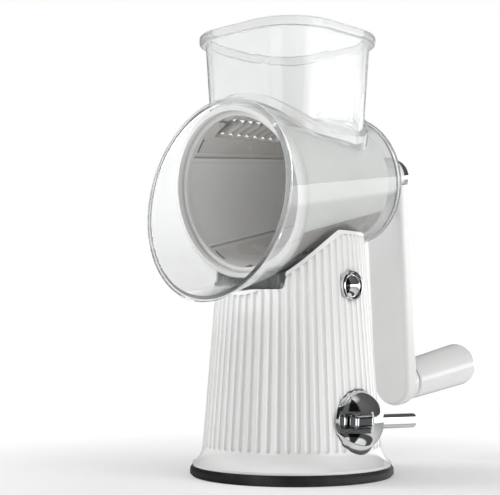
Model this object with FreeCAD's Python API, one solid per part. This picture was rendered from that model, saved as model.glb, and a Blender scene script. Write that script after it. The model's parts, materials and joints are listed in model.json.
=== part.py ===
import FreeCAD, Part
import math
import os

# Rotary cheese grater on a fluted suction stand, in millimetres.
# Row frame: +Z up, origin at the centre of the foot on the ground, spout towards -Y,
# crank towards +Y, suction lever and release button on the +X side.
# Barrel frame: +Y runs backwards along the barrel axis and y = 0 is the drum's front ring.
# Shapes in it are turned by BARREL_TILT about X and moved to RING_CENTRE.
V = FreeCAD.Vector
X_AXIS = V(1, 0, 0)
Y_AXIS = V(0, 1, 0)
Z_AXIS = V(0, 0, 1)
RUN_GAP = 0.05      # radial clearance of a shaft in its bearing
FREE_GAP = 0.3      # clearance between curved faces that don't touch

# Barrel, drum and housing
BARREL_TILT = 8.8
RING_CENTRE = V(0, -50.5, 173.2)
HOUSING_R = 55.5            # outer radius of the clear tube at the drum's front ring
HOUSING_REAR_R = 41.3       # outer radius at its rear end
HOUSING_LEN = 110.3
SPOUT_FLARE = 0.14          # growth of the spout's radius per mm forwards
SPOUT_LEN = 42.0
HOUSING_WALL = 2.6
SPOUT_CUT_Y = -17.6         # where the slanted mouth crosses the barrel axis
SPOUT_CUT_SLOPE = 0.303     # mouth plane: y = SPOUT_CUT_Y + slope * z
MOUTH_BEAD = 2.0            # width of the bead round the mouth
REAR_BEAD = 3.0             # width of the bead round the rear rim
BEAD_PROUD = 0.8
REAR_WALL_Y = 106.5
REAR_WALL = 2.8
DRUM_R = 50.6               # outer radius of the drum shell at its front
DRUM_SLOPE = 0.129          # loss of the shell's radius per mm backwards
DRUM_WALL = 2.4
DRUM_LEN = 104.0
COLLAR_R = 51.6             # outer radius of the drum's front ring
COLLAR_STEP_R = 48.5        # the ring is stepped back inside this radius
COLLAR_MOUTH_R = 45.4
COLLAR_FRONT_Y = -1.5
COLLAR_STEP_Y = 2.8
PLATE_CENTRES = (95.5, 275.5)   # degrees, from +X upwards, seen from the front
PLATE_SPAN = 103.4
WINDOW_SPAN = 97.5
WINDOW_Y = (9.0, 95.0)
LEDGE = 1.2                 # depth of the rebate that each plate lies in
PLATE_DEPTH = 3.0           # depth of each plate's inner face under the drum's outer surface
GUIDE_OFFSET = 54.2         # degrees from a plate's middle to the guide ribs on the frame
GUIDE_SPAN = 3.0
GUIDE_DEPTH = 4.0

# Corrugated blade in each plate, in a frame where x runs round the drum from the blade's middle
BLADE_TURN = 18.6           # degrees from the plate's middle to the blade's middle
BLADE_X = (-8.5, 8.0)       # cutting edge and root
BLADE_WINDOW_X = (-11.0, 9.3)
BLADE_TILT = 5.9            # degrees that the root lies deeper than the cutting edge
BLADE_HIGH = -0.8           # outer folds, measured midway between edge and root
BLADE_MID = -2.4
BLADE_LOW = -4.4            # inner folds
BLADE_THICKNESS = 0.6
TOOTH_COUNT = 8
TOOTH_PITCH = 7.0
TOOTH_START = 21.2          # first outer fold, along the plate
TAB_IN = 4.9                # from the last outer fold to the flat tab of the strip
TAB_OUT = 5.8

# Hopper
HOPPER_TOP = 274.3
HOPPER_RIM_HALF = 48.7
HOPPER_FOOT_HALF = 39.8
HOPPER_Y = -4.0
HOPPER_CORNER = 33.0        # corner radius at the rim
HOPPER_FOOT_CORNER = 24.0
HOPPER_WALL = 2.6
HOPPER_LIP = 2.5
HOPPER_LIP_H = 5.5
BAND_OUT = 2.8              # how far the band round the foot stands off the hopper
BAND_PROUD = 4.5            # and off the tube
HOPPER_LOW = 192.0

# Stand
FOOT_R = 64.0
SKIRT_R = 62.5
SKIRT_Z = 6.5
FLARE_TOP_Z = 18.0
COLUMN_R = 56.15            # outer radius at the top of the flare
COLUMN_SLOPE = 0.0815       # loss of radius per mm upwards
COLUMN_TOP = 151.0
COLUMN_IN_R = 53.5          # inner radius at the skirt's lower edge
SADDLE_GAP = 2.3
FLUTES = 60
FLUTE_R = 2.2
FLUTE_DEPTH = 1.05
NOTCH_HALF = 28.6
NOTCH_Z = 115.0
LEDGE_Z = 110.5             # seat of the head cradle inside the column
CRADLE_SCREW_R = 40.5
CRADLE_ANGLES = (55, 125, 210, 330)
BASE_SCREW_R = 49.0
BASE_ANGLES = (45, 135, 225, 315)

# Suction lever and plunger
LEVER_Z = 36.0
LEVER_SEAT_X = 51.2
DOME_R = 19.2
DOME_H = 16.0
LEVER_DROOP = 2.0           # degrees that the bar hangs below level at rest
POCKET_HALF = 6.4           # half height of the channel that shows the bar's front end
SHAFT_R = 4.0
CAM_R = 9.0
CAM_THROW = 2.475           # gives the plunger 3.5 mm between the lever's two stops
ROD_R = 5.0
YOKE_WALL = 3.9
BAR_X = 57.6                # centre of the lever bar
BAR_THICK = 6.4
BAR_TALL = 8.8
BAR_Y = (-10.5, 50.0)

# Release button and latch
BUTTON_Z = 117.5
BUTTON_R = 7.3
BEZEL_R = 9.25
WEDGE_SUM = 150.0           # the latch's 45 degree face lies on x + z = WEDGE_SUM
WEDGE_GAP = 0.3             # the stem's own face lies this much further out

# Crank and knob
CRANK_RADIUS = 145.5
CRANK_TURN = 3.5            # degrees that the arm hangs away from straight down
ARM_Y = 146.0
ARM_T = 12.5
ARM_HUB_HALF = 15.8
ARM_END_HALF = 15.3
HUB_R = 14.0
DRIVE_R = 6.0
DRIVE_SQUARE = 8.4
FLANGE_ANGLES = (90, 210, 330)
KNOB_LEN = 71.0
KNOB_R0 = 13.9
KNOB_R1 = 15.8
KNOB_ROUND = 6.0            # rounding of the outer end
AXLE_R = 2.95
COLLAR_OUT = 5.5            # how far the knob's collar stands off the arm
KNOB_START = ARM_Y + ARM_T + COLLAR_OUT + 0.4
CAP_SEAT_Y = 153.4          # the arm is thinner behind the shaft, where the chromed cap sits
CAP_R = 12.0
CAP_END_Y = 162.6
SHOULDER_Z = -5.0           # the arm has its full width and thickness below this
SHOULDER_R = 14.0


def revolve_y(points, start=0.0, span=360.0):
    """Solid of revolution about Y from (radius, y) points; angles run from +X towards +Z."""
    wire = Part.makePolygon([V(r, y, 0) for r, y in points + points[:1]])
    solid = Part.Face(wire).revolve(V(0, 0, 0), V(0, -1, 0), span)
    solid.rotate(V(0, 0, 0), V(0, -1, 0), start)
    return solid


def revolve_z(points, centre=V(0, 0, 0)):
    """Solid of revolution about a vertical line through centre, from (radius, z) points."""
    wire = Part.makePolygon([V(r, 0, z) for r, z in points + points[:1]])
    solid = Part.Face(wire).revolve(V(0, 0, 0), Z_AXIS, 360)
    solid.translate(centre)
    return solid


def rod(radius, start, axis, length):
    """Cylinder from start along axis."""
    return Part.makeCylinder(radius, length, start, axis)


def block(x0, x1, y0, y1, z0, z1):
    """Box between two corners."""
    return Part.makeBox(x1 - x0, y1 - y0, z1 - z0, V(x0, y0, z0))


def on_barrel(shape):
    """Move a shape from the barrel frame to the row frame."""
    placed = shape.copy()
    placed.rotate(V(0, 0, 0), X_AXIS, BARREL_TILT)
    placed.translate(RING_CENTRE)
    return placed


def rounded_square(half, corner, z, y=0.0):
    """Closed wire of a square with rounded corners, at height z."""
    flat = half - corner
    knee = corner * math.sqrt(0.5)
    edges = []
    for turn in range(4):
        line = Part.LineSegment(V(half, -flat, 0), V(half, flat, 0)).toShape()
        arc = Part.Arc(V(half, flat, 0), V(flat + knee, flat + knee, 0), V(flat, half, 0)).toShape()
        for edge in (line, arc):
            edge.rotate(V(0, 0, 0), Z_AXIS, 90 * turn)
            edges.append(edge)
    wire = Part.Wire(edges)
    wire.translate(V(0, y, z))
    return wire


def screw(radius, length, head_r, head_h):
    """Pan-head screw pointing down, with the underside of its head at z = 0."""
    points = [(0, -length), (radius * 0.6, -length), (radius, -length + radius), (radius, 0),
              (head_r, 0), (head_r, head_h * 0.55), (head_r * 0.72, head_h), (0, head_h)]
    body = revolve_z(points)
    slot = 0.28 * head_r
    reach = 0.62 * head_r
    depth = 0.45 * head_h
    cross = block(-reach, reach, -slot / 2, slot / 2, head_h - depth, head_h + 1)
    cross = cross.fuse(block(-slot / 2, slot / 2, -reach, reach, head_h - depth, head_h + 1))
    return body.cut(cross)


def placed_screws(points, size, up):
    """One shape of several equal screws; up turns their heads to +Z, else to -Z."""
    solids = []
    for point in points:
        item = screw(*size)
        if not up:
            item.rotate(V(0, 0, 0), X_AXIS, 180)
        item.translate(point)
        solids.append(item)
    return Part.makeCompound(solids)


def coil_spring(radius, wire_r, z0, z1, turns, centre):
    """Compression spring between two heights."""
    rise = z1 - z0 - 2 * wire_r
    helix = Part.makeHelix(rise / turns, rise, radius)
    section = Part.Wire(Part.makeCircle(wire_r, V(radius, 0, 0), Y_AXIS))
    solid = Part.Wire(helix.Edges).makePipeShell([section], True, False)
    solid.translate(centre + V(0, 0, z0 + wire_r))
    return solid


def polar(radius, degrees, z):
    """Point at a bearing from +X, at height z."""
    angle = math.radians(degrees)
    return V(radius * math.cos(angle), radius * math.sin(angle), z)


# ---------------------------------------------------------------- clear housing

def housing_radius(y):
    """Outer radius of the clear tube or spout at y in the barrel frame."""
    if y < 0:
        return HOUSING_R - SPOUT_FLARE * y
    return HOUSING_R + (HOUSING_REAR_R - HOUSING_R) * y / HOUSING_LEN


def housing_cone(offset, y0, y1):
    """Solid inside the tube's outer surface grown by offset."""
    middle = [(housing_radius(0) + offset, 0)] if y0 < 0 < y1 else []
    points = [(0, y0), (housing_radius(y0) + offset, y0)] + middle
    points += [(housing_radius(y1) + offset, y1), (0, y1)]
    return revolve_y(points)


def mouth_slab(y_shift, thickness):
    """Slab parallel to the slanted mouth, from y_shift behind it."""
    reach = 90
    lean = SPOUT_CUT_SLOPE * reach
    base = SPOUT_CUT_Y + y_shift
    corners = [V(-reach, base - lean, -reach), V(-reach, base + lean, reach),
               V(-reach, base + thickness + lean, reach), V(-reach, base + thickness - lean, -reach)]
    face = Part.Face(Part.makePolygon(corners + corners[:1]))
    return face.extrude(V(2 * reach, 0, 0))


def hopper_prism(inset):
    """Tapered hopper body in the row frame, inset from its outer surface."""
    foot = rounded_square(HOPPER_FOOT_HALF - inset, HOPPER_FOOT_CORNER - inset, HOPPER_LOW, HOPPER_Y)
    rim_half = HOPPER_RIM_HALF - HOPPER_LIP - inset
    rim = rounded_square(rim_half, HOPPER_CORNER - inset, HOPPER_TOP, HOPPER_Y)
    return Part.makeLoft([foot, rim], True)


def hopper_lip():
    """Outward lip round the hopper's mouth."""
    low = HOPPER_TOP - HOPPER_LIP_H
    outer = Part.Face(rounded_square(HOPPER_RIM_HALF, HOPPER_CORNER, low, HOPPER_Y))
    ring = outer.extrude(V(0, 0, HOPPER_LIP_H))
    edges = [e for e in ring.Edges if e.BoundBox.ZLength < 0.01]
    return ring.makeFillet(1.6, edges)


def hopper_band():
    """Thicker band where the hopper stands on the tube."""
    return hopper_prism(-BAND_OUT).common(on_barrel(housing_cone(BAND_PROUD, -10, HOUSING_LEN)))


def housing_rail():
    """Hollow rail under the tube, open downwards, with side flanges and a latch rib."""
    wall = 2.4
    half = 25.0
    top = 150.0
    shell = block(-half, half, -41, 30, 116, top)
    shell = shell.cut(block(-half + wall, half - wall, -41 + wall, 30 - wall, 110, top))
    for side in (-1, 1):
        x_pair = sorted((side * half, side * 27.4))
        shell = shell.fuse(block(x_pair[0], x_pair[1], -41, 28, 116, 118.2))
    rib = block(-half, half, 3.6, 5.8, 118, top)
    return shell.fuse(rib)


def clear_housing():
    """Hopper, conical tube, spout and rail in one clear moulding."""
    outer = housing_cone(0, -SPOUT_LEN, HOUSING_LEN)
    bore = housing_cone(-HOUSING_WALL, -SPOUT_LEN - 1, REAR_WALL_Y)
    rear_recess = housing_cone(-HOUSING_WALL, REAR_WALL_Y + REAR_WALL, HOUSING_LEN + 5)
    mouth_bead = housing_cone(BEAD_PROUD, -SPOUT_LEN, 10).common(mouth_slab(0, MOUTH_BEAD))
    bead_y = HOUSING_LEN - REAR_BEAD
    rear_bead = revolve_y([(0, bead_y), (HOUSING_REAR_R + BEAD_PROUD, bead_y),
                           (HOUSING_REAR_R + BEAD_PROUD, HOUSING_LEN), (0, HOUSING_LEN)])
    boss = rod(13.0, V(0, REAR_WALL_Y, 0), Y_AXIS, 11.5)
    solid = outer.fuse([mouth_bead, rear_bead]).cut(mouth_slab(-60, 60))
    solid = on_barrel(solid.cut(rear_recess).fuse(boss))
    rail = housing_rail().cut(on_barrel(housing_cone(-HOUSING_WALL / 2, -SPOUT_LEN, HOUSING_LEN)))
    rail_skirt = [part for part in rail.Solids if part.BoundBox.ZMin < 120]
    solid = solid.fuse([hopper_prism(0), hopper_lip(), hopper_band()] + rail_skirt)
    solid = solid.cut([on_barrel(bore), hopper_prism(HOPPER_WALL)])
    top_mouth = block(-30, 30, HOPPER_Y - 30, HOPPER_Y + 30, HOPPER_TOP - 1, HOPPER_TOP + 5)
    bearing = on_barrel(rod(9.0, V(0, REAR_WALL_Y - 5, 0), Y_AXIS, 30))
    return solid.cut([top_mouth, bearing]).removeSplitter()


def rear_bush():
    """Flanged bearing pressed into the housing's rear boss."""
    inner = DRIVE_R + RUN_GAP
    points = [(inner, 104.9), (12.0, 104.9), (12.0, REAR_WALL_Y), (9.0, REAR_WALL_Y),
              (9.0, 118.6), (inner, 118.6)]
    return on_barrel(revolve_y(points))


# ---------------------------------------------------------------- drum

def drum_radius(y):
    """Outer radius of the drum shell."""
    return DRUM_R - DRUM_SLOPE * y


def drum_skin(depth_out, depth_in, y0, y1, centre, span):
    """Piece of a conical skin between two depths below the drum's outer surface."""
    points = [(drum_radius(y0) - depth_in, y0), (drum_radius(y0) - depth_out, y0),
              (drum_radius(y1) - depth_out, y1), (drum_radius(y1) - depth_in, y1)]
    return revolve_y(points, centre - span / 2, span)


def drum_frame():
    """Shell with a stepped front ring, two plate windows, guide ribs and a rounded rear end."""
    inner_back = drum_radius(96) - DRUM_WALL
    back = drum_radius(98)
    points = [(COLLAR_STEP_R, COLLAR_FRONT_Y), (COLLAR_R - 0.6, COLLAR_FRONT_Y),
              (COLLAR_R, COLLAR_FRONT_Y + 0.6), (COLLAR_R, 5), (drum_radius(5), 5),
              (back, 98), (back - 0.8, 100.6), (back - 2.6, 102.7), (back - 5.4, DRUM_LEN),
              (6.6, DRUM_LEN), (6.6, 101.2), (inner_back - 4.6, 101.2), (inner_back - 1.6, 99.2),
              (inner_back, 96), (drum_radius(5.6) - DRUM_WALL, 5.6), (COLLAR_MOUTH_R, 5.6),
              (COLLAR_MOUTH_R, COLLAR_STEP_Y), (COLLAR_STEP_R, COLLAR_STEP_Y)]
    shell = revolve_y(points)
    ribs = []
    cuts = []
    for centre in PLATE_CENTRES:
        for side in (-GUIDE_OFFSET, GUIDE_OFFSET):
            ribs.append(drum_skin(DRUM_WALL - 0.4, GUIDE_DEPTH, 5, 95.5, centre + side, GUIDE_SPAN))
        cuts.append(drum_skin(-3, 6, WINDOW_Y[0], WINDOW_Y[1], centre, WINDOW_SPAN))
        rebate_span = PLATE_SPAN + 0.8
        cuts.append(drum_skin(-3, LEDGE, WINDOW_Y[0] - 2.6, WINDOW_Y[1] + 2.6, centre, rebate_span))
    for angle in FLANGE_ANGLES:
        cuts.append(rod(1.5, screw_spot(angle, 98), Y_AXIS, 8))
    return on_barrel(shell.fuse(ribs).cut(cuts))


def screw_spot(angle, y):
    """Centre of a drive-flange screw in the barrel frame."""
    bearing = math.radians(angle)
    return V(11 * math.cos(bearing), y, 11 * math.sin(bearing))


def onto_plate(shape, centre):
    """Move a shape from a plate's own frame to the barrel frame.

    There x runs round the drum, y back along the plate and z outwards from its surface.
    """
    placed = shape.copy()
    placed.rotate(V(0, 0, 0), X_AXIS, -math.degrees(math.atan(DRUM_SLOPE)))
    placed.translate(V(0, 0, DRUM_R))
    placed.rotate(V(0, 0, 0), V(0, -1, 0), centre - 90)
    return placed


def grating_plate(centre):
    """Curved plate with a rebated edge, snap tabs and a window for its blade."""
    y0, y1 = WINDOW_Y
    skin = drum_skin(0.1, LEDGE, y0 - 2.2, y1 + 2.2, centre, PLATE_SPAN)
    pad = drum_skin(LEDGE - 0.2, PLATE_DEPTH, y0 + 0.4, y1 - 0.4, centre, WINDOW_SPAN - 1.0)
    tabs = []
    for side in (-1, 1):
        tabs.append(drum_skin(2.7, 4.4, y0 - 3.2, y0 + 4, centre + side * 23.5, 22))
        tabs.append(drum_skin(2.7, 4.4, y1 - 4, y1 + 0.8, centre + side * 26, 8))
    last = TOOTH_START + TOOTH_PITCH * (TOOTH_COUNT - 1)
    window = block(BLADE_WINDOW_X[0], BLADE_WINDOW_X[1], TOOTH_START - TAB_IN, last + TAB_IN, -9, 4)
    return on_barrel(skin.fuse([pad] + tabs).cut(onto_plate(window, centre + BLADE_TURN)))


def blade_strip(centre):
    """Corrugated steel strip with a zigzag cutting edge, held by flat tabs at its two ends."""
    last = TOOTH_START + TOOTH_PITCH * (TOOTH_COUNT - 1)
    half_pitch = TOOTH_PITCH / 2
    upper = [V(0, TOOTH_START - TAB_OUT, BLADE_MID), V(0, TOOTH_START - TAB_IN, BLADE_MID)]
    for i in range(TOOTH_COUNT):
        y = TOOTH_START + TOOTH_PITCH * i
        upper += [V(0, y - half_pitch, BLADE_LOW), V(0, y, BLADE_HIGH)]
    upper += [V(0, last + half_pitch, BLADE_LOW), V(0, last + TAB_IN, BLADE_MID),
              V(0, last + TAB_OUT, BLADE_MID)]
    lower = [point - V(0, 0, BLADE_THICKNESS) for point in reversed(upper)]
    outline = upper + lower
    face = Part.Face(Part.makePolygon(outline + outline[:1]))
    strip = face.extrude(V(BLADE_X[1] - BLADE_X[0], 0, 0))
    strip.translate(V(BLADE_X[0], 0, 0))
    strip.rotate(V(0, 0, 0), Y_AXIS, BLADE_TILT)
    return on_barrel(onto_plate(strip, centre + BLADE_TURN))


def drive_shaft():
    """Steel shaft with a screwed flange inside the drum and a square for the crank."""
    flange = rod(16.0, V(0, 98.2, 0), Y_AXIS, 3.0)
    shaft = rod(DRIVE_R, V(0, 98.2, 0), Y_AXIS, 22.8)
    half = DRIVE_SQUARE / 2
    square = block(-half, half, 121.0, 141.0, -half, half)
    square.rotate(V(0, 0, 0), Y_AXIS, CRANK_TURN)
    thread = rod(2.5, V(0, 121, 0), Y_AXIS, 25)
    holes = [rod(1.5, screw_spot(angle, 95), Y_AXIS, 10) for angle in FLANGE_ANGLES]
    return on_barrel(flange.fuse([shaft, square]).cut(holes + [thread]))


def drive_screws():
    """Three screws that hold the shaft's flange to the drum's rear wall."""
    solids = []
    for angle in FLANGE_ANGLES:
        item = screw(1.45, 5.6, 2.9, 1.9)
        item.rotate(V(0, 0, 0), X_AXIS, 90)
        item.translate(screw_spot(angle, 98.2))
        solids.append(item)
    return on_barrel(Part.makeCompound(solids))


def thrust_washer():
    """Washer between the rear bush and the crank's hub."""
    points = [(6.3, 118.9), (11.5, 118.9), (11.5, 120.6), (6.3, 120.6)]
    return on_barrel(revolve_y(points))


# ---------------------------------------------------------------- crank and knob

def crank_turned(shape):
    """Turn a shape drawn for a straight-down crank to its rest angle, in the row frame."""
    placed = shape.copy()
    placed.rotate(V(0, 0, 0), Y_AXIS, CRANK_TURN)
    return on_barrel(placed)


def arm_outline(y):
    """Tapered bar with round ends, in the plane at y: shaft at z = 0, knob below."""
    lean = math.asin((ARM_HUB_HALF - ARM_END_HALF) / CRANK_RADIUS)
    hub = V(ARM_HUB_HALF * math.cos(lean), y, -ARM_HUB_HALF * math.sin(lean))
    end_z = -CRANK_RADIUS - ARM_END_HALF * math.sin(lean)
    end = V(ARM_END_HALF * math.cos(lean), y, end_z)
    hub_left = V(-hub.x, y, hub.z)
    end_left = V(-end.x, y, end.z)
    top = Part.Arc(hub, V(0, y, ARM_HUB_HALF), hub_left).toShape()
    left = Part.LineSegment(hub_left, end_left).toShape()
    bottom = Part.Arc(end_left, V(0, y, -CRANK_RADIUS - ARM_END_HALF), end).toShape()
    right = Part.LineSegment(end, hub).toShape()
    return Part.Wire([top, left, bottom, right])


def crank_arm():
    """Arm with a long hub for the shaft, a seat for its cap and a short collar for the knob."""
    arm = Part.Face(arm_outline(ARM_Y)).extrude(V(0, ARM_T, 0))
    rims = [e for e in arm.Edges if e.BoundBox.YLength < 0.01]
    arm = arm.makeFillet(3.4, rims)
    back = ARM_Y + ARM_T
    above = block(-30, 30, ARM_Y - 1, back + 1, SHOULDER_Z, 30)
    end_rod = rod(SHOULDER_R, V(0, ARM_Y - 1, 0), Y_AXIS, CAP_SEAT_Y - ARM_Y + 1)
    arm = arm.cut(above.cut(end_rod))
    hub = revolve_y([(0, 121), (HUB_R - 1, 121), (HUB_R, 122), (HUB_R, ARM_Y + 4), (0, ARM_Y + 4)])
    collar_end = back + COLLAR_OUT
    collar = revolve_y([(0, ARM_Y + 4), (13.6, ARM_Y + 4), (13.6, collar_end - 1.5),
                        (12.6, collar_end), (0, collar_end)])
    collar.translate(V(0, 0, -CRANK_RADIUS))
    half = DRIVE_SQUARE / 2 + RUN_GAP
    socket = block(-half, half, 120, 141.5, -half, half)
    bolt_hole = rod(2.6, V(0, 120, 0), Y_AXIS, 60)
    cap_seat = rod(CAP_R + FREE_GAP, V(0, CAP_SEAT_Y, 0), Y_AXIS, 20)
    axle_hole = rod(AXLE_R + RUN_GAP, V(0, ARM_Y + 3, -CRANK_RADIUS), Y_AXIS, 40)
    return crank_turned(arm.fuse([hub, collar]).cut([socket, bolt_hole, cap_seat, axle_hole]))


def crank_bolt():
    """Screw with a wide chromed cap that holds the crank on the shaft."""
    neck = CAP_SEAT_Y + 0.6
    points = [(0, 124), (2.4, 124), (2.4, CAP_SEAT_Y), (CAP_R - 1.6, CAP_SEAT_Y), (CAP_R - 1.6, neck),
              (CAP_R, neck), (CAP_R, CAP_END_Y - 1.6), (CAP_R - 0.5, CAP_END_Y - 0.6),
              (CAP_R - 1.6, CAP_END_Y), (0, CAP_END_Y + 0.5)]
    return crank_turned(revolve_y(points))


def knob_axle():
    """Steel pin fixed in the arm, with a head inside the end of the grip."""
    tip = KNOB_START + KNOB_LEN - 8
    foot = ARM_Y + 3.2
    neck = tip - 4
    points = [(0, foot), (AXLE_R, foot), (AXLE_R, neck), (5.0, neck), (5.0, tip), (0, tip)]
    axle = revolve_y(points)
    axle.translate(V(0, 0, -CRANK_RADIUS))
    return crank_turned(axle)


def knob_grip():
    """Slightly flared handle that turns on its pin."""
    start = KNOB_START
    end = start + KNOB_LEN
    bend = KNOB_ROUND * (1 - math.sqrt(0.5))
    bore = AXLE_R + RUN_GAP
    slope = (KNOB_R1 - KNOB_R0) / KNOB_LEN
    points = [V(0, start, 0), V(KNOB_R0 - 1, start, 0), V(KNOB_R0, start + 1, 0),
              V(KNOB_R1 - slope * KNOB_ROUND, end - KNOB_ROUND, 0), V(KNOB_R1 - KNOB_ROUND, end, 0),
              V(0, end, 0)]
    edges = [Part.LineSegment(points[i], points[i + 1]).toShape() for i in (0, 1, 2)]
    elbow = V(KNOB_R1 - bend, end - bend, 0)
    edges.append(Part.Arc(points[3], elbow, points[4]).toShape())
    edges.append(Part.LineSegment(points[4], points[5]).toShape())
    edges.append(Part.LineSegment(points[5], points[0]).toShape())
    grip = Part.Face(Part.Wire(edges)).revolve(V(0, 0, 0), Y_AXIS, 360)
    grip = grip.cut(rod(bore, V(0, start - 1, 0), Y_AXIS, KNOB_LEN - 10.9))
    grip = grip.cut(rod(6.0, V(0, end - 12.3, 0), Y_AXIS, 20))
    grip.translate(V(0, 0, -CRANK_RADIUS))
    return crank_turned(grip)


def knob_cap():
    """Round plug that closes the end of the grip over the pin's head."""
    end = KNOB_START + KNOB_LEN
    points = [(0, end - 6.5), (6.0, end - 6.5), (6.0, end - 0.2), (5.2, end + 0.4), (0, end + 0.7)]
    cap = revolve_y(points)
    cap.translate(V(0, 0, -CRANK_RADIUS))
    return crank_turned(cap)


# ---------------------------------------------------------------- stand

def column_radius(z):
    """Outer radius of the fluted column."""
    return COLUMN_R - COLUMN_SLOPE * (z - FLARE_TOP_Z)


def column_inner(z):
    """Inner radius of the column."""
    return COLUMN_IN_R - COLUMN_SLOPE * (z - SKIRT_Z)


def column_body():
    """Column and skirt as a full solid of revolution."""
    top = COLUMN_TOP
    flare_mid = V(COLUMN_R + 2.5, 0, 11.4)
    start = V(SKIRT_R, 0, SKIRT_Z + 1.6)
    end = V(COLUMN_R, 0, FLARE_TOP_Z)
    corners = [V(0, 0, SKIRT_Z), V(SKIRT_R, 0, SKIRT_Z), start]
    edges = [Part.LineSegment(corners[i], corners[i + 1]).toShape() for i in (0, 1)]
    edges.append(Part.Arc(start, flare_mid, end).toShape())
    edges.append(Part.LineSegment(end, V(column_radius(top), 0, top)).toShape())
    edges.append(Part.LineSegment(V(column_radius(top), 0, top), V(0, 0, top)).toShape())
    edges.append(Part.LineSegment(V(0, 0, top), V(0, 0, SKIRT_Z)).toShape())
    return Part.Face(Part.Wire(edges)).revolve(V(0, 0, 0), Z_AXIS, 360)


def flute_cutters():
    """Round-bottomed flutes that stop just under the saddle's edge."""
    lean = math.degrees(math.atan(COLUMN_SLOPE))
    offset = FLUTE_R - FLUTE_DEPTH
    cutters = []
    for i in range(FLUTES):
        start = V(column_radius(FLARE_TOP_Z + FLUTE_R) + offset, 0, FLARE_TOP_Z + FLUTE_R)
        cutter = rod(FLUTE_R, start, Z_AXIS, COLUMN_TOP).fuse(Part.makeSphere(FLUTE_R, start))
        cutter.rotate(start, Y_AXIS, -lean)
        cutter.rotate(V(0, 0, 0), Z_AXIS, (i + 0.5) * 360 / FLUTES)
        cutters.append(cutter)
    above = block(-80, 80, -80, 80, COLUMN_TOP - 2.2, 300)
    keep_out = on_barrel(housing_cone(SADDLE_GAP + 2.2, -SPOUT_LEN, HOUSING_LEN + 20)).fuse(above)
    return [cutter.cut(keep_out) for cutter in cutters]


def base_column():
    """Fluted column with skirt, saddle, front notch and the inner seats."""
    inner = revolve_z([(0, SKIRT_Z - 1), (column_inner(SKIRT_Z - 1), SKIRT_Z - 1),
                       (column_inner(COLUMN_TOP + 1), COLUMN_TOP + 1), (0, COLUMN_TOP + 1)])
    ring_groove = revolve_z([(54.9, SKIRT_Z - 1), (57.4, SKIRT_Z - 1), (57.4, 10.6), (54.9, 10.6)])
    shell = column_body().cut([inner, ring_groove])
    ledge = revolve_z([(41.2, LEDGE_Z - 3), (column_inner(LEDGE_Z) + 1, LEDGE_Z - 3),
                       (column_inner(LEDGE_Z) + 1, LEDGE_Z), (41.2, LEDGE_Z)])
    pads = [rod(22.0, V(44, 0, LEVER_Z), X_AXIS, 10), rod(12.0, V(41, 0, BUTTON_Z), X_AXIS, 7)]
    for angle in CRADLE_ANGLES:
        pads.append(rod(4.0, polar(CRADLE_SCREW_R, angle, LEDGE_Z - 12), Z_AXIS, 12))
    for angle in BASE_ANGLES:
        pads.append(rod(4.5, polar(BASE_SCREW_R, angle, 10.0), Z_AXIS, 16))
    pads = [pad.common(column_body()) for pad in pads]
    shell = shell.fuse([ledge] + pads)
    saddle = on_barrel(housing_cone(SADDLE_GAP, -SPOUT_LEN, HOUSING_LEN + 20))
    notch = block(-NOTCH_HALF, NOTCH_HALF, -80, -26, NOTCH_Z, 200)
    corners = [e for e in notch.Edges if e.BoundBox.XLength < 0.01 and e.BoundBox.ZLength < 0.01
               and e.BoundBox.ZMin < NOTCH_Z + 1]
    notch = notch.makeFillet(3.0, corners)
    cuts = [saddle, notch]
    cuts.append(rod(DOME_R + 0.6, V(LEVER_SEAT_X, 0, LEVER_Z), X_AXIS, 30))
    cuts.append(rod(7.0, V(40, 0, LEVER_Z), X_AXIS, 30))
    cuts.append(rod(BEZEL_R + 0.1, V(45.8, 0, BUTTON_Z), X_AXIS, 30))
    cuts.append(rod(BEZEL_R - 0.4, V(35, 0, BUTTON_Z), X_AXIS, 30))
    for angle in CRADLE_ANGLES:
        cuts.append(rod(1.3, polar(CRADLE_SCREW_R, angle, LEDGE_Z - 9), Z_AXIS, 12))
    for angle in BASE_ANGLES:
        cuts.append(rod(1.3, polar(BASE_SCREW_R, angle, 9.0), Z_AXIS, 13))
    return shell.cut(cuts).cut(flute_cutters())


def foot_ring():
    """Rubber ring that the stand rests on, with a lip inside the skirt's groove."""
    points = [(54.5, 0), (62.6, 0), (FOOT_R, 1.4), (FOOT_R, 4.6), (62.8, SKIRT_Z), (57.2, SKIRT_Z),
              (57.2, 10.4), (55.1, 10.4), (55.1, SKIRT_Z), (54.5, SKIRT_Z)]
    return revolve_z(points)


def base_plate():
    """Bottom cover, with the plunger's opening and counterbored screw holes."""
    plate = revolve_z([(12.0, 7.0), (53.0, 7.0), (53.0, 10.0), (15.0, 10.0), (15.0, 15.0), (12.0, 15.0)])
    holes = [rod(1.7, polar(BASE_SCREW_R, angle, 5), Z_AXIS, 10) for angle in BASE_ANGLES]
    holes += [rod(1.7, V(side * 19.5, 0, 5), Z_AXIS, 12) for side in (-1, 1)]
    return plate.cut(holes)


def suction_membrane():
    """Rubber dome that grips the table, drawn up in the middle by the plunger."""
    points = [(0, 4.2), (9, 4.2), (14, 2.9), (44, 0.3), (51.5, 0.3), (51.5, 2.6), (46.0, 2.9), (42.0, 7.0),
              (40.0, 7.0), (43.2, 2.5), (14, 4.6), (9, 6.0), (7, 7.2), (0, 7.2)]
    return revolve_z(points)


def base_screws():
    """Four screws through the bottom cover into the column."""
    points = [polar(BASE_SCREW_R, angle, 7.0) for angle in BASE_ANGLES]
    return placed_screws(points, (1.25, 12.0, 2.6, 1.8), False)


def bracket_screws():
    """Two screws through the bottom cover into the cam bracket."""
    points = [V(side * 19.5, 0, 7.0) for side in (-1, 1)]
    return placed_screws(points, (1.25, 9.0, 2.8, 1.8), False)


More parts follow.
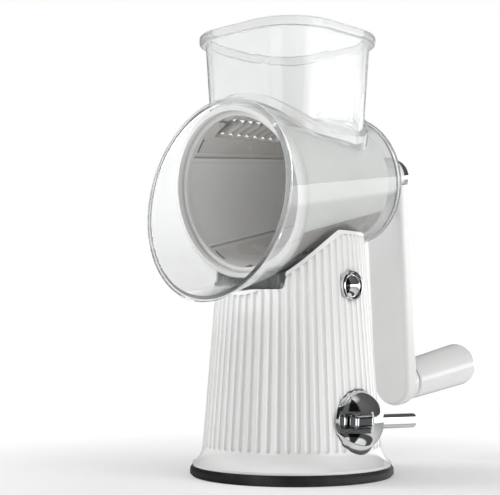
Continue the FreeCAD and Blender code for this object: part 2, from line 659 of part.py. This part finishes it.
def cam_bracket():
    """Bracket on the bottom cover that carries the cam shaft and guides the plunger."""
    deck = block(-24, 24, -13, 13, 18, 21)
    parts = []
    for side in (-1, 1):
        x_leg = sorted((side * 16, side * 24))
        x_ear = sorted((side * 17, side * 21))
        parts.append(block(x_leg[0], x_leg[1], -13, 13, 10.0, 18))
        ear = block(x_ear[0], x_ear[1], -9, 9, 21, LEVER_Z)
        parts.append(ear.fuse(rod(9.0, V(x_ear[0], 0, LEVER_Z), X_AXIS, 4)))
    bracket = deck.fuse(parts)
    holes = [rod(ROD_R + RUN_GAP, V(0, 0, 5), Z_AXIS, 20)]
    holes.append(rod(SHAFT_R + RUN_GAP, V(-40, 0, LEVER_Z), X_AXIS, 80))
    holes += [rod(1.3, V(side * 19.5, 0, 5), Z_AXIS, 12) for side in (-1, 1)]
    return bracket.cut(holes)


def lever_bush():
    """Bearing in the column's wall for the cam shaft."""
    inner = SHAFT_R + RUN_GAP
    points = [(inner, 42.2), (9.5, 42.2), (9.5, 44.0), (7.0, 44.0), (7.0, 51.0), (inner, 51.0)]
    bush = revolve_y(points)
    bush.rotate(V(0, 0, 0), Z_AXIS, -90)
    bush.translate(V(0, 0, LEVER_Z))
    return bush


def cam_shaft():
    """Shaft with an eccentric that lifts and drops the plunger."""
    shaft = rod(SHAFT_R, V(-25, 0, LEVER_Z), X_AXIS, 81)
    throw = CAM_THROW * math.sqrt(0.5)
    cam = rod(CAM_R, V(-5.5, -throw, LEVER_Z + throw), X_AXIS, 11)
    groove = rod(SHAFT_R + 1, V(-23.6, 0, LEVER_Z), X_AXIS, 1.2).cut(
        rod(SHAFT_R - 0.8, V(-24, 0, LEVER_Z), X_AXIS, 2))
    return shaft.fuse(cam).cut(groove)


def shaft_clip():
    """Retaining ring on the inner end of the cam shaft."""
    ring = rod(SHAFT_R + 2.4, V(-23.5, 0, LEVER_Z), X_AXIS, 1.0)
    ring = ring.cut(rod(SHAFT_R - 0.75, V(-25, 0, LEVER_Z), X_AXIS, 5))
    return ring.cut(block(-25, -20, -2, 2, LEVER_Z - 10, LEVER_Z - 1))


def lever_dome():
    """Domed knob with a channel that the lever bar lies in."""
    sphere_r = (DOME_R ** 2 + DOME_H ** 2) / (2 * DOME_H)
    base_x = LEVER_SEAT_X + 0.4
    ball = Part.makeSphere(sphere_r, V(base_x + DOME_H - sphere_r, 0, LEVER_Z))
    dome = ball.common(rod(DOME_R, V(base_x, 0, LEVER_Z), X_AXIS, 20))
    pocket = block(base_x + 1.8, 80, -30, -2.6, LEVER_Z - POCKET_HALF, LEVER_Z + POCKET_HALF)
    tunnel = bar_solid(RUN_GAP)
    socket = rod(SHAFT_R + 0.02, V(base_x - 1, 0, LEVER_Z), X_AXIS, 5.5)
    return drooped(dome.cut([pocket, tunnel, socket]))


def bar_solid(grow):
    """Flat bar with rounded edges and a round end, grown by a clearance."""
    half_x = BAR_THICK / 2 + grow
    half_z = BAR_TALL / 2 + grow
    bar = block(BAR_X - half_x, BAR_X + half_x, BAR_Y[0] - grow, BAR_Y[1] + grow,
                LEVER_Z - half_z, LEVER_Z + half_z)
    long_edges = [e for e in bar.Edges if e.BoundBox.YLength > 10]
    bar = bar.makeFillet(2.6, long_edges)
    ends = [e for e in bar.Edges if e.BoundBox.YLength < 0.01]
    return bar.makeFillet(1.6, ends)


def drooped(shape):
    """Turn a shape of the lever to its rest angle."""
    placed = shape.copy()
    placed.rotate(V(0, 0, LEVER_Z), X_AXIS, -LEVER_DROOP)
    return placed


def lever_bar():
    """Chromed bar that turns the knob."""
    return drooped(bar_solid(0).cut(rod(SHAFT_R + 0.1, V(40, 0, LEVER_Z), X_AXIS, 16.1)))


def suction_plunger():
    """Rod with a yoke round the cam; its foot is bonded to the membrane."""
    throw = CAM_THROW * math.sqrt(0.5)
    middle = LEVER_Z + throw
    foot = rod(9.0, V(0, 0, 7.2), Z_AXIS, 2.0)
    low = middle - CAM_R - YOKE_WALL
    high = middle + CAM_R + YOKE_WALL
    stem = rod(ROD_R, V(0, 0, 9.2), Z_AXIS, low - 9.2)
    yoke = block(-4.5, 4.5, -16, 16, low, high)
    yoke_edges = [e for e in yoke.Edges if e.BoundBox.XLength > 8]
    yoke = yoke.makeFillet(3.0, yoke_edges)
    window_half = CAM_R + FREE_GAP
    window = block(-6, 6, -12.4, 12.4, middle - window_half, middle + window_half)
    return foot.fuse([stem, yoke]).cut(window)


def button_bezel():
    """Chromed ring round the release button."""
    points = [(BUTTON_R + FREE_GAP, 45.8), (BEZEL_R, 45.8), (BEZEL_R, 49.0), (BEZEL_R - 0.5, 49.7),
              (BUTTON_R + 0.8, 49.9), (BUTTON_R + FREE_GAP, 49.5)]
    ring = revolve_y(points)
    ring.rotate(V(0, 0, 0), Z_AXIS, -90)
    ring.translate(V(0, 0, BUTTON_Z))
    return ring


def release_button():
    """Domed push button with a flange behind its bezel."""
    cap_h = 3.9
    sphere_r = (BUTTON_R ** 2 + cap_h ** 2) / (2 * cap_h)
    front = 48.4
    ball = Part.makeSphere(sphere_r, V(front + cap_h - sphere_r, 0, BUTTON_Z))
    dome = ball.common(rod(BUTTON_R, V(front - 0.5, 0, BUTTON_Z), X_AXIS, 10))
    barrel = rod(BUTTON_R, V(43.4, 0, BUTTON_Z), X_AXIS, front - 43.4)
    flange = rod(BUTTON_R + 1.1, V(42.4, 0, BUTTON_Z), X_AXIS, 2.4)
    return barrel.fuse([dome, flange])


def button_stem():
    """Stem behind the button with a 45 degree face that presses the latch down."""
    stem = rod(3.0, V(28, 0, BUTTON_Z), X_AXIS, 42.4 - 28)
    reach = WEDGE_SUM + WEDGE_GAP
    corners = [V(reach - 130, -9, 130), V(reach - 100, -9, 100), V(0, -9, 100), V(0, -9, 130)]
    below = Part.Face(Part.makePolygon(corners + corners[:1])).extrude(V(0, 18, 0))
    return stem.cut(below)


def latch_slider():
    """Latch whose tooth stands behind the housing's rib and whose ramp meets the stem."""
    bar = block(-12, 35.5, -6, 6, 104, 108)
    tooth = block(-8, 8, -2.5, 3.2, 108, 120.5)
    corners = [V(31, -5, 108), V(35.5, -5, 108), V(35.5, -5, WEDGE_SUM - 35.5), V(31, -5, WEDGE_SUM - 31)]
    ramp = Part.Face(Part.makePolygon(corners + corners[:1])).extrude(V(0, 10, 0))
    return bar.fuse([tooth, ramp])


def head_cradle():
    """Deck inside the column with the guides of the housing's rail and the latch's cage."""
    deck = rod(column_inner(112) - 0.3, V(0, 0, LEDGE_Z), Z_AXIS, 3.0)
    parts = []
    for side in (-1, 1):
        wall = sorted((side * 28.6, side * 30.3))
        lip = sorted((side * 25.8, side * 30.3))
        pad = sorted((side * 24.0, side * 30.3))
        parts.append(block(wall[0], wall[1], -31, 26, 113.5, 120.5))
        parts.append(block(lip[0], lip[1], -31, 26, 118.7, 120.5))
        parts.append(block(pad[0], pad[1], -31, 26, 113.5, 115.8))
        leg = sorted((side * 8.0, side * 10.5))
        parts.append(block(-10, 10, leg[0], leg[1], 90, 111))
    parts.append(block(-10, 10, -10.5, 10.5, 90, 92.5))
    guide = block(36.2, 38.6, -6, 6, 113.0, 122.5).cut(rod(3.3, V(30, 0, BUTTON_Z), X_AXIS, 12))
    cradle = deck.fuse(parts + [guide])
    cuts = [block(-8.6, 8.6, -3.1, 3.8, 109, 115), block(30.6, 35.9, -5.6, 5.6, 109, 115)]
    cuts.append(block(38.9, 50, -12.6, 12.6, 109, 115))
    cuts.append(block(25, 31, -4.5, 4.5, 113.5, 121))
    cuts += [rod(1.7, polar(CRADLE_SCREW_R, angle, 109), Z_AXIS, 6) for angle in CRADLE_ANGLES]
    return cradle.cut(cuts)


def cradle_screws():
    """Four screws that hold the cradle to the column's ledge."""
    points = [polar(CRADLE_SCREW_R, angle, 113.5) for angle in CRADLE_ANGLES]
    return placed_screws(points, (1.25, 10.0, 2.8, 1.9), True)


# ---------------------------------------------------------------- output

NODES = {
    "base_column": base_column,
    "foot_ring": foot_ring,
    "base_plate": base_plate,
    "suction_membrane": suction_membrane,
    "base_screws": base_screws,
    "cam_bracket": cam_bracket,
    "bracket_screws": bracket_screws,
    "lever_bush": lever_bush,
    "button_bezel": button_bezel,
    "head_cradle": head_cradle,
    "cradle_screws": cradle_screws,
    "latch_spring": lambda: coil_spring(4.6, 0.5, 92.5, 104.0, 5, V(0, 0, 0)),
    "plunger_spring": lambda: coil_spring(6.6, 0.5, 9.2, 18.0, 4, V(0, 0, 0)),
    "clear_housing": clear_housing,
    "rear_bush": rear_bush,
    "lever_dome": lever_dome,
    "lever_bar": lever_bar,
    "cam_shaft": cam_shaft,
    "shaft_clip": shaft_clip,
    "suction_plunger": suction_plunger,
    "release_button": release_button,
    "button_stem": button_stem,
    "latch_slider": latch_slider,
    "drum_frame": drum_frame,
    "grating_plate_upper": lambda: grating_plate(PLATE_CENTRES[0]),
    "grating_plate_lower": lambda: grating_plate(PLATE_CENTRES[1]),
    "blade_strip_upper": lambda: blade_strip(PLATE_CENTRES[0]),
    "blade_strip_lower": lambda: blade_strip(PLATE_CENTRES[1]),
    "drive_shaft": drive_shaft,
    "drive_screws": drive_screws,
    "thrust_washer": thrust_washer,
    "crank_arm": crank_arm,
    "crank_bolt": crank_bolt,
    "knob_axle": knob_axle,
    "knob_grip": knob_grip,
    "knob_cap": knob_cap,
}

os.makedirs("parts", exist_ok=True)
for node, make in NODES.items():
    shape = make()
    box = shape.BoundBox
    print(node, "solids", len(shape.Solids), "valid", shape.isValid(), "volume", round(shape.Volume),
          "x", round(box.XMin, 1), round(box.XMax, 1), "y", round(box.YMin, 1), round(box.YMax, 1),
          "z", round(box.ZMin, 1), round(box.ZMax, 1))
    shape.exportStep("parts/" + node + ".step")
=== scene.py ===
import json
import math
import bpy
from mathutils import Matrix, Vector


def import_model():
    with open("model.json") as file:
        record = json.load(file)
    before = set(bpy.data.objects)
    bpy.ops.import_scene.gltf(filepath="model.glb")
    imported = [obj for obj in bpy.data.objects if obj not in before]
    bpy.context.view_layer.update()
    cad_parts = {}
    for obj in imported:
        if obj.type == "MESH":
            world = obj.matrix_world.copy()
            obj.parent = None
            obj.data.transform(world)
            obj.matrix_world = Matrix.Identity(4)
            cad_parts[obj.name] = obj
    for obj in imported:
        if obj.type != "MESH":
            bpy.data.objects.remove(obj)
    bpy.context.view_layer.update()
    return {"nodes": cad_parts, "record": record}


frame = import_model()
NODES = frame["nodes"]
scene = bpy.context.scene

# Camera: level, at the height of the column's middle, three-quarter view from the spout side
CAMERA_BEARING = 41.35      # degrees from -Y towards +X, seen from the foot's centre
CAMERA_YAW = 43.41
CAMERA_DISTANCE = 0.7311
CAMERA_HEIGHT = 0.0898
CAMERA_LENS = 83.32
CAMERA_SHIFT_Y = 0.1685

# The room's light, as grey levels by height (0 level, 1 overhead) and by bearing
# (0 and 1 at -X, 0.25 at -Y, 0.5 at +X, 0.75 at +Y)
ROOM_LEVEL = 1.25
ROOM_HEIGHTS = [(0.0, 0.9), (0.1, 0.85), (0.15, 0.03), (0.45, 0.03), (0.52, 0.9), (1.0, 1.0)]
ROOM_BEARINGS = [(0.0, 0.9), (0.08, 0.35), (0.29, 0.35), (0.33, 1.0), (0.37, 1.0), (0.4, 0.3),
                 (0.46, 0.3), (0.5, 1.0), (0.585, 1.0), (0.62, 0.12), (0.68, 0.4), (0.75, 0.06),
                 (0.97, 0.06), (1.0, 0.9)]
# Strip lights and black cards that only reflections see, by height (0 below, 0.5 level,
# 1 overhead) and by bearing
MIRROR_LEVEL = 3.0
MIRROR_HEIGHTS = [(0.0, 0.3), (0.08, 0.3), (0.1, 0.03), (0.18, 0.03), (0.2, 0.28), (0.45, 0.15),
                  (0.48, 1.0), (0.56, 1.0), (0.585, 0.03), (0.96, 0.05), (1.0, 0.3)]
MIRROR_BEARINGS = [(0.0, 0.2), (0.24, 0.2), (0.26, 0.9), (0.31, 0.9), (0.33, 0.04), (0.45, 0.04),
                   (0.48, 1.0), (0.7, 0.8), (0.8, 0.8), (0.84, 0.08), (1.0, 0.2)]

# Lamps: size, watts, place and aim in metres
KEY_SIZE = (0.5, 0.5)
KEY_POWER = 10
KEY_PLACE = (-0.9, -0.7, 0.8)
KEY_AIM = (0, 0, 0.12)
SIDE_SIZE = (0.35, 0.9)
SIDE_POWER = 4
SIDE_PLACE = (1.0, 0.15, 0.45)
SIDE_AIM = (0, 0, 0.14)

# Floor and backdrop as rings of radius and height, and how the floor turns to even light
FLOOR_RINGS = [(0.8, 0), (2.0, 0), (3.0, 0)]
SWEEP_RINGS = [(2.9, -0.01), (3.0, 0), (3.2, 0.2), (3.2, 4.0)]
RING_SIDES = 96
FLOOR_GLOW = 0.3            # share of even light on the floor under the object
FLOOR_FADE = (0.07, 0.3)    # radii between which the share grows to the whole

# Clear plastic: how much light is lost inside the walls
CLEAR_LOSS_COLOUR = (0.5, 0.52, 0.52, 1)
CLEAR_LOSS_DENSITY = 42


# ------------------------------------------------------------ node helpers

def material(name):
    """New node material with only its output, and its tree."""
    mat = bpy.data.materials.new(name)
    mat.use_nodes = True
    mat.node_tree.nodes.clear()
    out = mat.node_tree.nodes.new("ShaderNodeOutputMaterial")
    return mat, mat.node_tree, out


def principled(tree, out, **values):
    """Principled shader wired to the output, inputs given with spaces as underscores.

    A value given here for an input that a texture drives is its average, for viewers without nodes.
    """
    node = tree.nodes.new("ShaderNodeBsdfPrincipled")
    for key, value in values.items():
        node.inputs[key.replace("_", " ")].default_value = value
    tree.links.new(node.outputs[0], out.inputs["Surface"])
    return node


def noise(tree, scale, detail=3.0, stretch=(1, 1, 1)):
    """Noise in the object's own coordinates."""
    coords = tree.nodes.new("ShaderNodeTexCoord")
    mapping = tree.nodes.new("ShaderNodeMapping")
    mapping.inputs["Scale"].default_value = stretch
    tree.links.new(coords.outputs["Object"], mapping.inputs["Vector"])
    texture = tree.nodes.new("ShaderNodeTexNoise")
    texture.inputs["Scale"].default_value = scale
    texture.inputs["Detail"].default_value = detail
    tree.links.new(mapping.outputs[0], texture.inputs["Vector"])
    return texture.outputs["Fac"]


def spread(tree, source, low, high, from_low=0.3, from_high=0.7):
    """Source mapped to a range."""
    node = tree.nodes.new("ShaderNodeMapRange")
    node.inputs["From Min"].default_value = from_low
    node.inputs["From Max"].default_value = from_high
    node.inputs["To Min"].default_value = low
    node.inputs["To Max"].default_value = high
    tree.links.new(source, node.inputs["Value"])
    return node.outputs[0]


def tint(tree, source, low, high):
    """Source mapped to a blend of two colours."""
    node = tree.nodes.new("ShaderNodeMix")
    node.data_type = "RGBA"
    node.inputs["A"].default_value = (*low, 1)
    node.inputs["B"].default_value = (*high, 1)
    tree.links.new(source, node.inputs["Factor"])
    return node.outputs["Result"]


def blend(tree, source, low, colour):
    """Source mapped to a blend of a fixed colour and another node's colour."""
    node = tree.nodes.new("ShaderNodeMix")
    node.data_type = "RGBA"
    node.inputs["A"].default_value = (*low, 1)
    tree.links.new(colour, node.inputs["B"])
    tree.links.new(source, node.inputs["Factor"])
    return node.outputs["Result"]


def bump(tree, shader, source, strength, distance):
    """Bump of a height source on a shader."""
    node = tree.nodes.new("ShaderNodeBump")
    node.inputs["Strength"].default_value = strength
    node.inputs["Distance"].default_value = distance
    tree.links.new(source, node.inputs["Height"])
    tree.links.new(node.outputs[0], shader.inputs["Normal"])


def crevice(tree, reach):
    """Openness of the surface, low in corners and grooves, used as the mask for painted shade."""
    node = tree.nodes.new("ShaderNodeAmbientOcclusion")
    node.samples = 8
    node.inputs["Distance"].default_value = reach
    return spread(tree, node.outputs["AO"], 0, 1, 0.35, 0.9)


# ------------------------------------------------------------ materials

def gloss_plastic():
    """White glossy moulded plastic, with painted shade darkening its corners and grooves."""
    mat, tree, out = material("gloss_white_plastic")
    shader = principled(tree, out, Base_Color=(0.83, 0.83, 0.82, 1), Roughness=0.2, Coat_Weight=0.35,
                        Coat_Roughness=0.06)
    patches = noise(tree, 18, 4)
    tree.links.new(spread(tree, patches, 0.16, 0.27), shader.inputs["Roughness"])
    body = tint(tree, spread(tree, patches, 0, 1), (0.835, 0.835, 0.825), (0.87, 0.87, 0.865))
    # Painted shade: the colour darkens to grey in corners and grooves, where the openness mask is low.
    painted_crevice_shade = blend(tree, crevice(tree, 0.003), (0.52, 0.52, 0.5), body)
    tree.links.new(painted_crevice_shade, shader.inputs["Base Color"])
    bump(tree, shader, noise(tree, 900, 2), 0.05, 0.0002)
    return mat


def plate_plastic():
    """Glossy white plastic of the grating plates, given a darker warm grey as painted shade and painted warm
    bounce light, with painted shade in its corners.
    """
    mat, tree, out = material("plate_plastic")
    # Painted shade and painted warm bounce light: the plates' white plastic is given a darker warm grey, here
    # and in the tint below.
    shader = principled(tree, out, Base_Color=(0.7, 0.68, 0.65, 1), Roughness=0.25, Coat_Weight=0.3,
                        Coat_Roughness=0.08)
    patches = noise(tree, 26, 4)
    tree.links.new(spread(tree, patches, 0.2, 0.34), shader.inputs["Roughness"])
    body = tint(tree, spread(tree, patches, 0, 1), (0.66, 0.64, 0.61), (0.73, 0.71, 0.68))
    # Painted shade: dark brown-grey in corners and grooves, where the openness mask is low.
    painted_crevice_shade = blend(tree, crevice(tree, 0.004), (0.22, 0.2, 0.18), body)
    tree.links.new(painted_crevice_shade, shader.inputs["Base Color"])
    bump(tree, shader, noise(tree, 900, 2), 0.05, 0.0002)
    return mat


def satin_plastic():
    """Satin off-white plastic of the inner parts."""
    mat, tree, out = material("satin_plastic")
    shader = principled(tree, out, Base_Color=(0.7, 0.7, 0.69, 1), Roughness=0.42)
    patches = noise(tree, 30, 4)
    tree.links.new(spread(tree, patches, 0.36, 0.5), shader.inputs["Roughness"])
    tree.links.new(tint(tree, patches, (0.68, 0.68, 0.66), (0.74, 0.74, 0.73)), shader.inputs["Base Color"])
    bump(tree, shader, noise(tree, 1500, 3), 0.12, 0.0002)
    return mat


def acetal():
    """Slightly waxy bearing plastic."""
    mat, tree, out = material("acetal")
    shader = principled(tree, out, Base_Color=(0.62, 0.62, 0.58, 1), Roughness=0.35, Subsurface_Weight=0.1,
                        Subsurface_Scale=0.002)
    tree.links.new(spread(tree, noise(tree, 60, 4), 0.28, 0.45), shader.inputs["Roughness"])
    bump(tree, shader, noise(tree, 1200, 2, (1, 1, 0.2)), 0.08, 0.0002)
    return mat


def clear_plastic():
    """Clear moulded plastic: a little haze, loss inside the walls, painted dark edges where the surface is
    seen edge-on, lets lamps through.
    """
    mat, tree, out = material("clear_plastic")
    shader = principled(tree, out, Base_Color=(0.965, 0.975, 0.975, 1), Roughness=0.02, IOR=1.46,
                        Transmission_Weight=1.0)
    facing = tree.nodes.new("ShaderNodeLayerWeight")
    facing.inputs["Blend"].default_value = 0.5
    # Painted shade: the colour turns dark grey where the surface is seen edge-on.
    painted_edge_shade = spread(tree, facing.outputs["Facing"], 0, 1, 0.66, 0.95)
    tree.links.new(tint(tree, painted_edge_shade, (0.985, 0.988, 0.987), (0.1, 0.11, 0.11)), shader.inputs["Base Color"])
    tree.links.new(spread(tree, noise(tree, 25, 3), 0.01, 0.04), shader.inputs["Roughness"])
    bump(tree, shader, noise(tree, 30, 1), 0.02, 0.0003)
    haze = tree.nodes.new("ShaderNodeBsdfTranslucent")
    haze.inputs["Color"].default_value = (0.86, 0.87, 0.87, 1)
    cloudy = tree.nodes.new("ShaderNodeMixShader")
    tree.links.new(spread(tree, noise(tree, 12, 2), 0.1, 0.2), cloudy.inputs["Fac"])
    tree.links.new(shader.outputs[0], cloudy.inputs[1])
    tree.links.new(haze.outputs[0], cloudy.inputs[2])
    see = tree.nodes.new("ShaderNodeBsdfTransparent")
    see.inputs["Color"].default_value = (0.93, 0.94, 0.94, 1)
    path = tree.nodes.new("ShaderNodeLightPath")
    mix = tree.nodes.new("ShaderNodeMixShader")
    tree.links.new(path.outputs["Is Shadow Ray"], mix.inputs["Fac"])
    tree.links.new(cloudy.outputs[0], mix.inputs[1])
    tree.links.new(see.outputs[0], mix.inputs[2])
    tree.links.new(mix.outputs[0], out.inputs["Surface"])
    loss = tree.nodes.new("ShaderNodeVolumeAbsorption")
    loss.inputs["Color"].default_value = CLEAR_LOSS_COLOUR
    loss.inputs["Density"].default_value = CLEAR_LOSS_DENSITY
    tree.links.new(loss.outputs[0], out.inputs["Volume"])
    return mat


def chrome():
    """Bright chrome plate with faint smudges."""
    mat, tree, out = material("chrome_plate")
    shader = principled(tree, out, Base_Color=(0.86, 0.87, 0.88, 1), Metallic=1.0, Roughness=0.05)
    tree.links.new(spread(tree, noise(tree, 60, 5), 0.03, 0.1), shader.inputs["Roughness"])
    bump(tree, shader, noise(tree, 160, 2), 0.02, 0.0003)
    return mat


def rubber():
    """Black rubber with a fine skin and a trace of dust."""
    mat, tree, out = material("black_rubber")
    shader = principled(tree, out, Base_Color=(0.02, 0.02, 0.02, 1), Roughness=0.55)
    dust = noise(tree, 45, 6)
    dusty = tint(tree, spread(tree, dust, 0, 1, 0.45, 0.85), (0.012, 0.012, 0.012), (0.05, 0.05, 0.048))
    tree.links.new(dusty, shader.inputs["Base Color"])
    tree.links.new(spread(tree, dust, 0.45, 0.68), shader.inputs["Roughness"])
    bump(tree, shader, noise(tree, 1400, 3), 0.25, 0.0002)
    return mat


def brushed_steel():
    """Stainless steel with fine drawn lines."""
    mat, tree, out = material("stainless_steel")
    shader = principled(tree, out, Base_Color=(0.55, 0.55, 0.56, 1), Metallic=1.0, Roughness=0.24)
    lines = noise(tree, 300, 4, (1, 0.05, 1))
    tree.links.new(spread(tree, lines, 0.17, 0.36), shader.inputs["Roughness"])
    tree.links.new(tint(tree, lines, (0.48, 0.48, 0.49), (0.66, 0.66, 0.67)), shader.inputs["Base Color"])
    bump(tree, shader, lines, 0.12, 0.0001)
    return mat


def blade_steel():
    """Pale bead-blasted steel of the cutting strips, with painted shade darkening them down in their folds.
    """
    mat, tree, out = material("blade_steel")
    shader = principled(tree, out, Base_Color=(0.7, 0.69, 0.66, 1), Metallic=0.8, Roughness=0.38)
    body = tint(tree, noise(tree, 220, 3, (0.1, 1, 1)), (0.72, 0.71, 0.68), (0.86, 0.85, 0.82))
    # Painted shade: near black down in the folds, where the openness mask is low.
    painted_fold_shade = blend(tree, crevice(tree, 0.005), (0.05, 0.045, 0.04), body)
    tree.links.new(painted_fold_shade, shader.inputs["Base Color"])
    tree.links.new(spread(tree, noise(tree, 300, 4), 0.3, 0.46), shader.inputs["Roughness"])
    bump(tree, shader, noise(tree, 700, 3), 0.1, 0.0001)
    return mat


MATERIALS = {
    "white_plastic": gloss_plastic(),
    "inner_plastic": satin_plastic(),
    "acetal": acetal(),
    "clear_plastic": clear_plastic(),
    "chrome": chrome(),
    "rubber": rubber(),
    "steel": brushed_steel(),
}

SPECIAL = {
    "grating_plate_upper": plate_plastic(),
    "blade_strip_upper": blade_steel(),
}
SPECIAL["grating_plate_lower"] = SPECIAL["grating_plate_upper"]
SPECIAL["blade_strip_lower"] = SPECIAL["blade_strip_upper"]

for row in frame["record"]["subparts"]:
    node = NODES[row["node"]]
    for slot in node.material_slots:
        slot.material = SPECIAL.get(row["node"], MATERIALS[row["material_slot"]])


# ------------------------------------------------------------ stage, lights, camera

def disc(name, rings, mat):
    """Surface of revolution about Z from (radius, z) rings, linked to the scene."""
    points = [(0, 0, rings[0][1])]
    faces = []
    for radius, height in rings:
        for i in range(RING_SIDES):
            turn = math.tau * i / RING_SIDES
            points.append((radius * math.cos(turn), radius * math.sin(turn), height))
    for i in range(RING_SIDES):
        j = (i + 1) % RING_SIDES
        faces.append((0, 1 + i, 1 + j))
        for ring in range(len(rings) - 1):
            start = 1 + ring * RING_SIDES
            faces.append((start + i, start + RING_SIDES + i, start + RING_SIDES + j, start + j))
    mesh = bpy.data.meshes.new(name)
    mesh.from_pydata(points, [], faces)
    mesh.materials.append(mat)
    item = bpy.data.objects.new(name, mesh)
    scene.collection.objects.link(item)
    return item


def floor_material():
    """Pale floor that fades to an evenly lit sweep away from the object."""
    mat, tree, out = material("pale_floor")
    near = tree.nodes.new("ShaderNodeBsdfPrincipled")
    near.inputs["Base Color"].default_value = (0.92, 0.92, 0.92, 1)
    near.inputs["Roughness"].default_value = 0.6
    tree.links.new(spread(tree, noise(tree, 8, 4), 0.5, 0.7), near.inputs["Roughness"])
    far = tree.nodes.new("ShaderNodeEmission")
    far.inputs["Color"].default_value = (1, 1, 1, 1)
    coords = tree.nodes.new("ShaderNodeTexCoord")
    length = tree.nodes.new("ShaderNodeVectorMath")
    length.operation = "LENGTH"
    tree.links.new(coords.outputs["Object"], length.inputs[0])
    mix = tree.nodes.new("ShaderNodeMixShader")
    fade = spread(tree, length.outputs["Value"], FLOOR_GLOW, 1, *FLOOR_FADE)
    tree.links.new(fade, mix.inputs["Fac"])
    tree.links.new(near.outputs[0], mix.inputs[1])
    tree.links.new(far.outputs[0], mix.inputs[2])
    tree.links.new(mix.outputs[0], out.inputs["Surface"])
    return mat


def sweep_material():
    """Evenly lit backdrop."""
    mat, tree, out = material("pale_sweep")
    light = tree.nodes.new("ShaderNodeEmission")
    light.inputs["Color"].default_value = (1, 1, 1, 1)
    tree.links.new(light.outputs[0], out.inputs["Surface"])
    return mat


def stage():
    """Pale floor and a far backdrop, neither of them seen in reflections."""
    floor = disc("floor", FLOOR_RINGS, floor_material())
    floor.visible_glossy = False
    sweep = disc("sweep", SWEEP_RINGS, sweep_material())
    sweep.visible_diffuse = False
    sweep.visible_glossy = False
    sweep.visible_shadow = False


def area_light(name, size, power, place, aim):
    """Soft rectangular lamp aimed at a point, not seen in reflections."""
    lamp = bpy.data.lights.new(name, "AREA")
    lamp.shape = "RECTANGLE"
    lamp.size = size[0]
    lamp.size_y = size[1]
    lamp.energy = power
    item = bpy.data.objects.new(name, lamp)
    item.location = place
    direction = Vector(aim) - Vector(place)
    item.rotation_euler = direction.to_track_quat("-Z", "Y").to_euler()
    item.visible_glossy = False
    scene.collection.objects.link(item)


def stepped(tree, source, stops):
    """Grey ramp over a 0 to 1 source from (place, level) stops."""
    ramp = tree.nodes.new("ShaderNodeValToRGB")
    elements = ramp.color_ramp.elements
    while len(elements) < len(stops):
        elements.new(0.5)
    for element, (place, level) in zip(elements, stops):
        element.position = place
        element.color = (level, level, level, 1)
    tree.links.new(source, ramp.inputs["Fac"])
    return ramp.outputs["Color"]


def panels(tree, height_source, height_stops, bearing_source, bearing_stops, level):
    """Background light of one set of panels."""
    product = tree.nodes.new("ShaderNodeMix")
    product.data_type = "RGBA"
    product.blend_type = "MULTIPLY"
    product.inputs["Factor"].default_value = 1.0
    tree.links.new(stepped(tree, height_source, height_stops), product.inputs["A"])
    tree.links.new(stepped(tree, bearing_source, bearing_stops), product.inputs["B"])
    background = tree.nodes.new("ShaderNodeBackground")
    tree.links.new(product.outputs["Result"], background.inputs["Color"])
    background.inputs["Strength"].default_value = level
    return background.outputs[0]


def world():
    """White studio room, with strip lights and black cards that only shiny parts see."""
    surroundings = bpy.data.worlds.new("studio")
    surroundings.use_nodes = True
    tree = surroundings.node_tree
    tree.nodes.clear()
    coords = tree.nodes.new("ShaderNodeTexCoord")
    parts = tree.nodes.new("ShaderNodeSeparateXYZ")
    tree.links.new(coords.outputs["Generated"], parts.inputs[0])
    angle = tree.nodes.new("ShaderNodeMath")
    angle.operation = "ARCTAN2"
    tree.links.new(parts.outputs["Y"], angle.inputs[0])
    tree.links.new(parts.outputs["X"], angle.inputs[1])
    bearing = spread(tree, angle.outputs[0], 0, 1, -math.pi, math.pi)
    room = panels(tree, parts.outputs["Z"], ROOM_HEIGHTS, bearing, ROOM_BEARINGS, ROOM_LEVEL)
    height = spread(tree, parts.outputs["Z"], 0, 1, -1, 1)
    mirrored = panels(tree, height, MIRROR_HEIGHTS, bearing, MIRROR_BEARINGS, MIRROR_LEVEL)
    path = tree.nodes.new("ShaderNodeLightPath")
    mix = tree.nodes.new("ShaderNodeMixShader")
    out = tree.nodes.new("ShaderNodeOutputWorld")
    tree.links.new(path.outputs["Is Glossy Ray"], mix.inputs["Fac"])
    tree.links.new(room, mix.inputs[1])
    tree.links.new(mirrored, mix.inputs[2])
    tree.links.new(mix.outputs[0], out.inputs["Surface"])
    scene.world = surroundings


def camera():
    """Camera at the reference view."""
    data = bpy.data.cameras.new("camera")
    data.lens = CAMERA_LENS
    data.shift_y = CAMERA_SHIFT_Y
    data.clip_start = 0.01
    item = bpy.data.objects.new("camera", data)
    bearing = math.radians(CAMERA_BEARING)
    item.location = (CAMERA_DISTANCE * math.sin(bearing), -CAMERA_DISTANCE * math.cos(bearing), CAMERA_HEIGHT)
    item.rotation_euler = (math.pi / 2, 0, math.radians(CAMERA_YAW))
    scene.collection.objects.link(item)
    scene.camera = item


stage()
world()
camera()
area_light("key", KEY_SIZE, KEY_POWER, KEY_PLACE, KEY_AIM)
area_light("side", SIDE_SIZE, SIDE_POWER, SIDE_PLACE, SIDE_AIM)
scene.view_settings.view_transform = "Standard"
